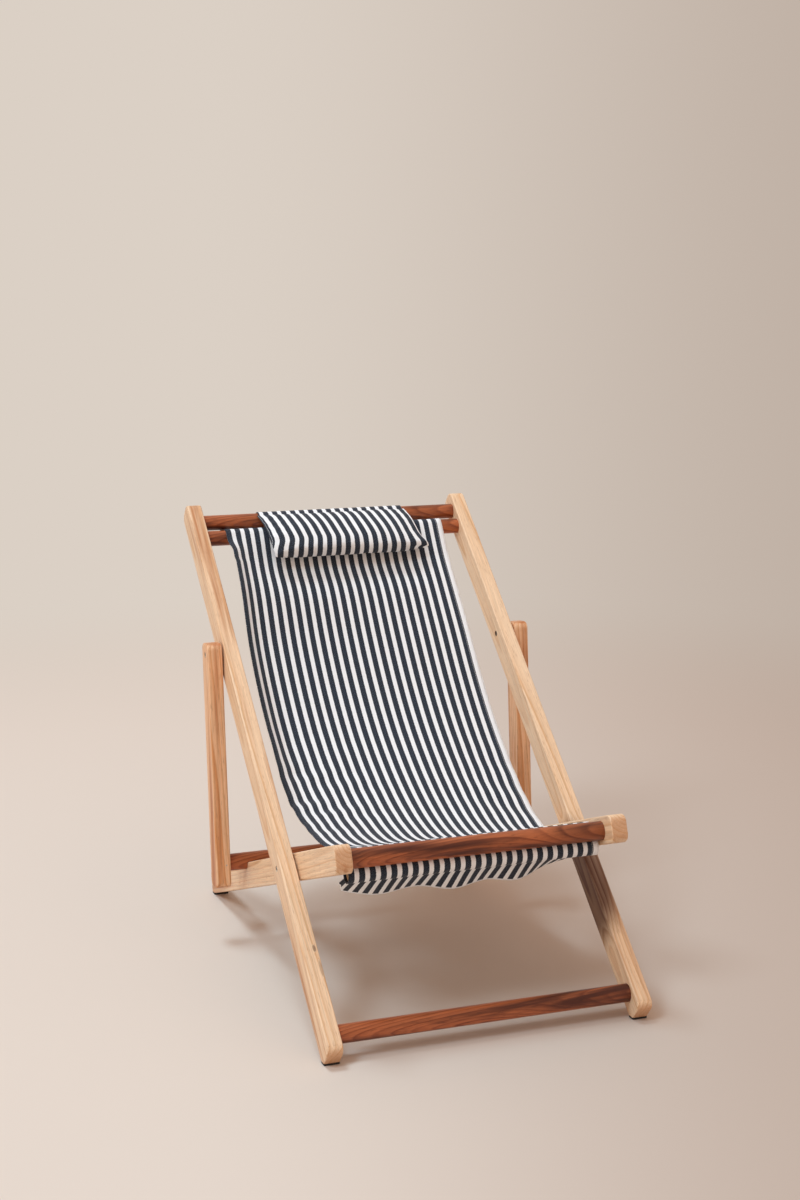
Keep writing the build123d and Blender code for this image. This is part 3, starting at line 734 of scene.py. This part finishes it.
@dataclass
class SlingCloth:
    """The striped sling: free run, wraps over the two bars, sleeves drawn into the gaps, and a loose front tail."""

    width: float = 0.335
    thickness: float = 0.0011
    clearance: float = 0.0004
    hem_width: float = 0.0078
    hem_extra: float = 0.0005
    edge_twist: float = 0.015
    sleeve_radius: float = 0.0104
    tail_length: float = 0.036
    front_droop: float = 46.0
    top_droop: float = 90.0
    corner_share: float = 0.55
    columns: int = 85
    spacing: float = 0.0028
    # Share of the way forward, share of the drop, share of the edge twist, from head to seat
    run_shares: tuple[tuple[float, float, float], ...] = (
        (0.054, 0.135, 0.00), (0.110, 0.255, -0.20), (0.195, 0.464, -0.90), (0.289, 0.657, -0.95),
        (0.383, 0.811, -0.80), (0.477, 0.926, -0.45), (0.571, 1.013, 0.05), (0.665, 1.074, 0.60),
        (0.759, 1.106, 1.00), (0.834, 1.103, 0.90), (0.910, 1.067, 0.50),
    )
    # Share of the half width, share of the tail's length, share of its wave angle
    tail_shares: tuple[tuple[float, float, float], ...] = (
        (-1.0, 0.80, -0.10), (-0.64, 1.08, 0.75), (-0.32, 1.00, 0.40), (-0.02, 1.12, 1.15),
        (0.24, 1.00, 0.65), (0.50, 1.08, 1.05), (0.74, 0.94, -0.30), (1.0, 0.70, -1.00),
    )
    wave_angle: float = 20.0
    tail_drag: float = 0.34
    tail_steps: int = 14
    left_waves: tuple[Wave, ...] = (Wave(0.0011, 0.047, 0.09), Wave(0.0006, 0.029, 0.16, 1.0))
    right_wave: Wave = Wave(0.0009, 0.045, -0.11)
    sag_depth: float = 0.008
    lip_angle: float = 33.0
    jog_width: float = 0.0014
    finish: CanvasFinish = CanvasFinish("striped_sling_canvas", -160.0, 158.4, 162.0)

    def __post_init__(self) -> None:
        """Read the bars and dowels that the cloth goes round."""
        head = [Bar.of(node) for node in ("lower_top_bar", "upper_top_bar", "top_sleeve_dowel")]
        seat = [Bar.of(node) for node in ("rear_seat_bar", "front_seat_bar", "front_sleeve_dowel")]
        self.top = ClothEnd(*head, -1, self.top_droop)
        self.front = ClothEnd(*seat, 1, self.front_droop)
        self.x = np.linspace(-self.width / 2, self.width / 2, self.columns)

    def wrap(self, bar: Bar) -> float:
        """Radius of the cloth's middle where it goes round a bar."""
        return bar.radius + self.clearance + self.thickness / 2

    def free_run(self) -> tuple[Array, float, float]:
        """Middle line of the free run, with its twist and the angles where it leaves the bars.

        The line is a smooth curve through places given as shares of the way between its two ends.
        Each end lies on its bar's wrap at right angles to the first and last step.

        Returns:
            Points as y, z and twist, the angle on the head bar and the angle on the seat bar.
        """
        head, seat = self.top.bar, self.front.bar
        shares = np.array(self.run_shares)
        way = seat.centre - head.centre
        leave = heading(shares[0, :2] * way) - 90
        arrive = heading((1 - shares[-1, :2]) * way) - 90
        start = arc(head.centre, self.wrap(head), leave, leave, 1)[0]
        end = arc(seat.centre, self.wrap(seat), arrive, arrive, 1)[0]
        line = np.vstack([start, start + shares[:, :2] * (end - start), end])
        twist = np.concatenate([[0], shares[:, 2], [0]])
        return catmull_rom(np.column_stack([line, twist]), 400), leave, arrive

    def over_bar(self, end: ClothEnd, angle: float) -> Array:
        """Wrap from an angle on the end's bar round to the side that faces the gap between the bars."""
        sweep = (heading(end.other.centre - end.bar.centre) - angle + 180) % 360 - 180
        return arc(end.bar.centre, self.wrap(end.bar), angle, angle + sweep, 30)

    def round_dowel(self, end: ClothEnd, edge: Array, back: bool) -> Array:
        """Half of a sleeve, from the gap round the dowel to the seam.

        Args:
            end: The end of the sling.
            edge: Where the cloth leaves the bar's wrap.
            back: Whether it goes the other way round.

        Returns:
            Points as rows of y and z.
        """
        to_edge = heading(edge - end.dowel.centre)
        turn = (end.way * (-end.droop - to_edge)) % 360 - (360 if back else 0)
        return arc(end.dowel.centre, self.sleeve_radius, to_edge, to_edge + end.way * turn, 40 if back else 60)

    def end_path(self, end: ClothEnd, angle: float) -> Array:
        """Path from an angle on the bar round it, through the gap and round the dowel to the seam."""
        over = self.over_bar(end, angle)
        return np.vstack([over, self.round_dowel(end, over[-1], False)])

    def tail_rows(self, end: ClothEnd) -> Array:
        """Grid of a loose tail from its root outwards, with waves along its free edge.

        Each column leaves the sleeve square to it, bends by its wave angle up to its middle and
        runs on straight. Length and wave follow a smooth curve across. The tail drags to the left
        by a third of the distance from its root.

        Args:
            end: The end of the sling that the tail hangs from.

        Returns:
            Points as rows by columns by three.
        """
        shares = catmull_rom(np.array(self.tail_shares), 200)
        across = 2 * self.x / self.width
        length = self.tail_length * np.interp(across, shares[:, 0], shares[:, 1])
        length *= 1 - self.corner_share * smooth_step(np.abs(across), 0.88, 1.0) ** 2
        wave = self.wave_angle * np.interp(across, shares[:, 0], shares[:, 2])
        root = arc(end.dowel.centre, self.sleeve_radius, -end.droop, -end.droop, 1)[0]
        steps = np.linspace(0, 1, self.tail_steps + 1)[1:]
        angle = -np.radians(end.droop + wave[None, :] * np.minimum(1, 2 * steps[:, None]))
        step = length[None, :] / len(steps)
        y = root[0] + np.cumsum(step * np.cos(angle), axis=0)
        z = root[1] + np.cumsum(step * np.sin(angle), axis=0)
        x = self.x[None, :] - self.tail_drag * steps[:, None] * length[None, :]
        return np.stack([x, y, z], axis=2)

    def relief(self, along: Array, across: Array) -> tuple[Array, Array]:
        """Small folds over the free run, and the curl of its left edge, a lip over the upper half.

        Two slanting waves fade from the left edge to the middle over the lower half, and a weaker
        one lies on the right. Behind the pillow the cloth sags. The lip's slope starts 34 mm from
        the edge and rises by a smooth step over 24 mm to the lip's angle. Its height and draw-in
        are the sums, from the middle outwards, of the slope's sine and of one minus its cosine, so
        that the cloth isn't stretched.

        Args:
            along: Distance from the head bar down the run, as a column.
            across: Place across, as a row.

        Returns:
            Height above the sheet and shift towards the middle at each point.
        """
        left = smooth_step(-across, -0.01, 0.15) * bell(along, 0.45, 0.09)
        right = smooth_step(across, 0.02, 0.16) * bell(along, 0.47, 0.09)
        waves = left * sum(wave.at(along, across) for wave in self.left_waves)
        sag = self.sag_depth * bell(along, 0.055, 0.035) * (1 - smooth_step(np.abs(across), 0.09, 0.15))
        share = smooth_step(along, -0.01, 0.035) * (1 - smooth_step(along, 0.33, 0.47))
        slope = math.radians(self.lip_angle) * share * smooth_step(-across, 0.134, 0.158)
        step = self.width / (self.columns - 1)
        parts = ((np.sin(slope) * step)[:, ::-1], ((1 - np.cos(slope)) * step)[:, ::-1])
        height, shift = (np.cumsum(part, axis=1)[:, ::-1] for part in parts)
        jog = self.jog_width * smooth_step(-across, 0.125, 0.1675) * smooth_step(along, 0.042, 0.048)
        return waves + right * self.right_wave.at(along, across) - sag + height, shift + jog

    def grid(self) -> tuple[Array, Array]:
        """Middle surface of the whole cloth, from the top sleeve's seam to the tip of the front tail.

        Returns:
            Points as rows by columns by three, and the distance along the cloth for each point.
        """
        run, leave, arrive = self.free_run()
        run = even_line(run, self.spacing)
        top = even_line(self.end_path(self.top, leave), self.spacing / 2)[:0:-1]
        front = even_line(self.end_path(self.front, arrive), self.spacing / 2)[1:]
        line = np.vstack([top, run[:, :2], front])
        slope = np.gradient(line, axis=0)
        slope /= np.linalg.norm(slope, axis=1)[:, None]
        normal = np.stack([slope[:, 1], -slope[:, 0]], axis=1)
        across = self.x[None, :]
        lift = np.zeros((len(line), self.columns))
        begin, end = len(top), len(top) + len(run)
        distance = run_length(run[:, :2])[:, None]
        fade = smooth_step(distance, 0.0, 0.03) * smooth_step(distance[-1] - distance, 0.0, 0.05)
        twist = self.edge_twist * run[:, 2:3] * (-2 * across / self.width)
        height, shift = self.relief(distance, across)
        lift[begin:end] = twist + fade * height
        body = line[:, None, :] + lift[:, :, None] * normal[:, None, :]
        x = np.array(np.broadcast_to(across, body.shape[:2]))
        x[begin:end] += fade * shift
        points = np.concatenate([np.dstack([x, body]), self.tail_rows(self.front)], axis=0)
        steps = np.linalg.norm(np.diff(points, axis=0), axis=2)
        along = np.vstack([np.zeros((1, self.columns)), np.cumsum(steps, axis=0)])
        return points, along[-1:] - along

    def thick(self, points: Array, along: Array) -> tuple[Array, Array, Array]:
        """Give a sheet of the sling its two sides, thicker at the side hems.

        Args:
            points: Middle surface.
            along: Distance along the cloth.

        Returns:
            Vertices, quads and cloth places of the closed shell.
        """
        hem_edge = self.width / 2 - self.hem_width
        hem = smooth_step(np.abs(self.x), hem_edge - 2 * MM, hem_edge)
        thickness = (self.thickness + self.hem_extra * hem)[None, :, None]
        return thick_sheet(points, thickness, np.dstack([np.broadcast_to(self.x, along.shape), along]))

    def build(self) -> None:
        points, along = self.grid()
        parts = [self.thick(points, along)]
        flat_length = float(run_length(points[:, self.columns // 2])[-1])
        for end in (self.top, self.front):
            edge = self.over_bar(end, 0.0)[-1]
            back = even_line(self.round_dowel(end, edge, True), self.spacing / 2)
            rows = np.broadcast_to(back[:, None, :], (len(back), self.columns, 2))
            sheet = np.dstack([np.broadcast_to(self.x, rows.shape[:2]), rows])
            length = np.broadcast_to(run_length(back)[:, None] + self.tail_length, rows.shape[:2])
            parts.append(self.thick(sheet, length))
            flat_length += float(run_length(back)[-1])
        vertices, quads, cloth = zip(*parts)
        starts = np.cumsum([0] + [len(part) for part in vertices[:-1]])
        quads = [part + start for part, start in zip(quads, starts)]
        piece = mesh_piece("striped_sling", np.vstack(vertices), np.vstack(quads), np.vstack(cloth))
        piece.data.materials.append(self.finish.material())
        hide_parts("sling")
        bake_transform(piece)
        LOG.info("sling built, %.0f mm long when flat", flat_length / MM)


@dataclass
class HeadPillow:
    """Stuffed head pillow that hangs from the upper top bar by a flap."""

    width: float = 0.230
    height: float = 0.078
    swell: float = 0.031
    lean: float = 46.0
    skew: float = 0.0135
    flap_width: float = 0.224
    flap_thickness: float = 0.0011
    flap_clearance: float = 0.0005
    flap_drop: float = 0.062
    flap_wave: float = 0.0012
    puckers: int = 13
    pucker_height: float = 0.0011
    crease_depth: float = 0.0014
    lump_height: float = 0.0007
    ear_reach: float = 0.0055
    ear_lift: float = 0.003
    right_draw: float = 0.007
    left_draw: float = 0.002
    stripe_draw: float = 0.004
    columns: int = 121
    rows: int = 121
    # Loop round the middle section: share of the height, share of the swell
    loop_shares: tuple[tuple[float, float], ...] = (
        (0.00, 0.05), (0.08, 0.24), (0.25, 0.46), (0.50, 0.66), (0.76, 0.74), (0.93, 0.66), (1.00, 0.40),
        (1.01, 0.08), (0.93, -0.05), (0.76, -0.04), (0.55, 0.06), (0.32, 0.15), (0.10, 0.01), (0.00, -0.02),
    )
    finish: CanvasFinish = CanvasFinish("striped_pillow_canvas", -110.5, -113.4, 113.0)

    def __post_init__(self) -> None:
        """Read the bar that the pillow hangs from."""
        self.bar = Bar.of("upper_top_bar")
        turn = math.radians(180 + self.lean)
        self.down = np.array([math.cos(turn), math.sin(turn)])
        self.out = np.array([math.sin(turn), -math.cos(turn)])
        self.wrap = self.bar.radius + self.flap_clearance + self.flap_thickness / 2
        self.start = arc(self.bar.centre, self.wrap, 90 + self.lean, 90 + self.lean, 1)[0]

    def surface(self) -> tuple[Array, Array]:
        """Closed skin of the pillow.

        The loop round the middle section is a smooth closed line. Towards the two side seams it
        shrinks on to its own middle line by one minus a power of the place across, raised to the
        power 0.6: the left end stays blunt and the right one runs out into a flat ear, whose tip
        stands up above a drawn-in corner. Puckers stand along the seams, and a shallow crease runs
        down the middle.

        Returns:
            Points as rows by columns by three, and their cloth places.
        """
        loop = catmull_rom(np.array(self.loop_shares), 600)
        loop = even_line(np.vstack([loop, loop[:1]]) * [self.height, self.swell], 0.0001)
        loop = loop[np.linspace(0, len(loop) - 1, self.rows).astype(int)]
        along = run_length(loop)
        drop, rise = loop[:, 0:1], loop[:, 1:2]
        down = drop / self.height
        shares = np.array(self.loop_shares)
        front = np.interp(down[:, 0], shares[:7, 0], shares[:7, 1])
        back = np.interp(down[:, 0], shares[:6:-1, 0], shares[:6:-1, 1])
        seam = (self.swell * (front + back) / 2)[:, None]
        across = np.sin(np.linspace(-1, 1, self.columns) * math.pi / 2)[None, :]
        power = np.where(across > 0, 4.0, 7.0)
        full = np.clip(1 - np.abs(across) ** power, 0, 1) ** 0.6
        level = seam + (rise - seam) * full
        turn = along[:, None] / along[-1]
        pucker = np.abs(across) ** 6 * full * np.sin(2 * math.pi * (self.puckers * turn + 0.8 * across))
        crease = bell(across, 0.1 + 0.1 * down, 0.035) * smooth_step(down, 0.2, 0.6)
        lumps = np.sin(7 * across + 3 * down) * np.sin(9 * down - 2 * across) * full
        relief = self.pucker_height * pucker - self.crease_depth * crease + self.lump_height * lumps
        level = level + np.sign(rise - seam) * relief
        right = smooth_step(across, 0.72, 1.0)
        ear = self.ear_reach * bell(down, 0.96, 0.16) - self.right_draw * smooth_step(down, 0.975, 1.01)
        level = level + self.ear_lift * right * bell(down, 0.95, 0.2)
        corner = -self.left_draw * smooth_step(-across, 0.7, 1.0) * smooth_step(down, 0.4, 1.0)
        x = self.skew * down + across * self.width / 2 + right * ear + corner
        side = self.start + drop[:, :, None] * self.down + level[:, :, None] * self.out
        cloth_x = across * self.width / 2 + self.stripe_draw * smooth_step(down, 0.7, 1.0) * (1 - across)
        cloth = np.dstack([cloth_x, np.broadcast_to(along[:, None] + 0.01, x.shape)])
        return np.dstack([x, side]), cloth

    def build(self) -> None:
        points, cloth = self.surface()
        quads = grid_faces(*points.shape[:2])
        piece = mesh_piece("stuffed_pillow", points.reshape(-1, 3), quads, cloth.reshape(-1, 2))
        # The seam's doubled points are merged, and the faces turned outwards
        skin = bmesh.new()
        skin.from_mesh(piece.data)
        bmesh.ops.remove_doubles(skin, verts=skin.verts, dist=0.02 * MM)
        bmesh.ops.recalc_face_normals(skin, faces=skin.faces)
        skin.to_mesh(piece.data)
        skin.free()
        piece.data.materials.append(self.finish.material())
        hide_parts("head_pillow")
        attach(piece, "back_frame")
        LOG.info("pillow built, %d faces", len(piece.data.polygons))

    def build_flap(self) -> None:
        over = arc(self.bar.centre, self.wrap, 90 + self.lean, 0, 40)
        hang = np.linspace(over[-1], over[-1] - [0.0, self.flap_drop], 30)[1:]
        line = np.vstack([over, hang])
        x = np.linspace(-self.flap_width / 2, self.flap_width / 2, 60)
        fall = np.clip(over[-1][1] - line[:, 1], 0, None)[:, None] / self.flap_drop
        y = line[:, 0:1] + fall * self.flap_wave * np.sin(2 * math.pi * x[None, :] / 0.09)
        points = np.dstack([np.broadcast_to(x, y.shape), y, np.broadcast_to(line[:, 1:2], y.shape)])
        along = run_length(line)
        cloth = np.dstack([points[:, :, 0], np.broadcast_to((along[-1] - along)[:, None], y.shape)])
        piece = mesh_piece("hanging_flap", *thick_sheet(points, self.flap_thickness, cloth))
        piece.data.materials.append(self.finish.material())
        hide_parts("pillow_flap")
        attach(piece, "back_frame")
        LOG.info("flap built")


@dataclass(frozen=True)
class Lamp:
    """A square soft lamp that points at the seat: its place and side in metres, and its power in watts."""

    name: str
    place: tuple[float, float, float]
    side: float
    power: float
    colour: tuple[float, float, float] = (0.66, 0.86, 1.0)
    aim: tuple[float, float, float] = (0.0, 0.0, 0.2)

    def hang(self) -> None:
        """Put the lamp into the scene, unseen by the camera."""
        data = bpy.data.lights.new(self.name, "AREA")
        data.size = self.side
        data.energy = self.power
        data.color = self.colour
        lamp = bpy.data.objects.new(self.name, data)
        lamp.location = self.place
        lamp.rotation_euler = (Vector(self.aim) - Vector(self.place)).to_track_quat("-Z", "Y").to_euler()
        lamp.visible_camera = False
        bpy.context.scene.collection.objects.link(lamp)


@dataclass
class Studio:
    """Pale paper floor, plain soft lights and the camera at the photograph's angle."""

    paper: str = "#dbd0c5"
    shade: str = "#bfb0a4"
    # Where the painted shade on the paper begins and is full, as the sine of the angle to the right of the camera's
    # axis
    shade_span: tuple[float, float] = (-0.12, 0.26)
    ambient: tuple[float, float, float] = (1.0, 0.78, 0.66)
    ambient_level: float = 0.7
    lamps: tuple[Lamp, ...] = (
        Lamp("key_lamp", (-3.8, -1.9, 5.1), 1.7, 134.0),
        Lamp("top_lamp", (-1.1, 0.8, 5.2), 1.2, 110.0),
    )
    floor_size: float = 400.0
    lit_radius: float = 1.2
    plain_radius: float = 2.6
    camera_place: tuple[float, float, float] = (-0.8539, -2.37435, 0.9957)
    yaw: float = -19.744
    pitch: float = 11.211
    roll: float = 0.213
    lens: float = 57.12
    sensor: float = 36.0

    def build(self) -> None:
        """Make the floor, the world, the lamps and the camera."""
        self.add_floor()
        self.add_world()
        for lamp in self.lamps:
            lamp.hang()
        self.add_camera()

    def add_floor(self) -> None:
        """Lay the floor: lit paper near the chair, which fades into plain paper colour far from it, both with painted
        shade towards the far side.
        """
        half = self.floor_size / 2
        mesh = bpy.data.meshes.new("paper_floor")
        corners = [(-half, -half, 0), (half, -half, 0), (half, half, 0), (-half, half, 0)]
        mesh.from_pydata(corners, [], [(0, 1, 2, 3)])
        floor = bpy.data.objects.new("paper_floor", mesh)
        bpy.context.scene.collection.objects.link(floor)
        material, add = new_material("matt_paper")
        coords = add("TexCoord", out="Object")
        away = add("VectorMath LENGTH", coords, out="Value")
        far = add("MapRange", away, self.lit_radius, self.plain_radius, interpolation_type="SMOOTHSTEP")
        share = add("Math MULTIPLY", far, self.seen_directly(add))
        way = add("VectorMath SUBTRACT", coords, self.camera_place)
        way = add("VectorMath NORMALIZE", way)
        colour = self.paper_with_painted_shade(add, way)
        paper = add("BsdfDiffuse", {"Color": colour})
        plain = add("Emission", {"Color": colour})
        both = add("MixShader", share, paper, plain)
        add("OutputMaterial", {"Surface": both})
        mesh.materials.append(material)

    def paper_with_painted_shade(self, add: AddNode, way: Any) -> Any:
        """Colour of the plain paper with painted shade, which darkens it from the lamp's side to the far side.

        Args:
            add: Function that adds a node to the tree.
            way: Socket with the direction from the camera.

        Returns:
            The colour socket.
        """
        yaw = math.radians(self.yaw)
        right = (math.cos(yaw), math.sin(yaw), 0.0)
        side = add("VectorMath DOT_PRODUCT", way, right, out="Value")
        # Painted shade: the paper darkens to the right of the camera's axis
        fall = add("MapRange", side, *self.shade_span, interpolation_type="SMOOTHSTEP")
        return add("Mix", {0: fall, MIX_A: self.paper, MIX_B: self.shade}, data_type="RGBA", out=MIX_OUT)

    def seen_directly(self, add: AddNode) -> Any:
        """Socket that is one for camera, glossy and transmission rays."""
        seen, glossy, clear = (add("LightPath", out=f"Is {kind} Ray") for kind in ("Camera", "Glossy", "Transmission"))
        return add("Math MAXIMUM", add("Math MAXIMUM", seen, glossy), clear)

    def add_world(self) -> None:
        """Light the scene evenly, and show plain paper colour, with its painted shade, where the camera sees past the
        floor.
        """
        world = bpy.data.worlds.new("plain_studio")
        bpy.context.scene.world = world
        world.use_nodes = True
        world.node_tree.nodes.clear()
        add = partial(add_node, world.node_tree)
        ambient = {"Color": (*self.ambient, 1.0), "Strength": self.ambient_level}
        light = add("Background", ambient)
        way = add("TexCoord", out="Generated")
        plain = add("Background", {"Color": self.paper_with_painted_shade(add, way)})
        both = add("MixShader", self.seen_directly(add), light, plain)
        add("OutputWorld", {"Surface": both})

    def add_camera(self) -> None:
        """Place the camera: its forward axis follows yaw and pitch, and its other axes turn by the roll."""
        yaw, pitch, roll = (math.radians(value) for value in (self.yaw, self.pitch, self.roll))
        forward = Vector((-math.sin(yaw) * math.cos(pitch), math.cos(yaw) * math.cos(pitch), -math.sin(pitch)))
        right = Vector((math.cos(yaw), math.sin(yaw), 0))
        up = right.cross(forward)
        side = math.cos(roll) * right + math.sin(roll) * up
        top = -math.sin(roll) * right + math.cos(roll) * up
        turn = Matrix((side, top, -forward)).transposed().to_4x4()
        data = bpy.data.cameras.new("photo_camera")
        data.lens = self.lens
        data.sensor_width = self.sensor
        camera = bpy.data.objects.new("photo_camera", data)
        camera.matrix_world = Matrix.Translation(self.camera_place) @ turn
        bpy.context.scene.collection.objects.link(camera)
        bpy.context.scene.camera = camera


def main() -> None:
    """Build the studio, the soft parts and the finishes."""
    logging.basicConfig(level=logging.INFO, format="%(name)s: %(message)s")
    bpy.context.scene.view_settings.view_transform = "Standard"
    Studio().build()
    Timbers().dress()
    Fittings().dress()
    SlingCloth().build()
    pillow = HeadPillow()
    pillow.build()
    pillow.build_flap()


if __name__ == "__main__":
    main()
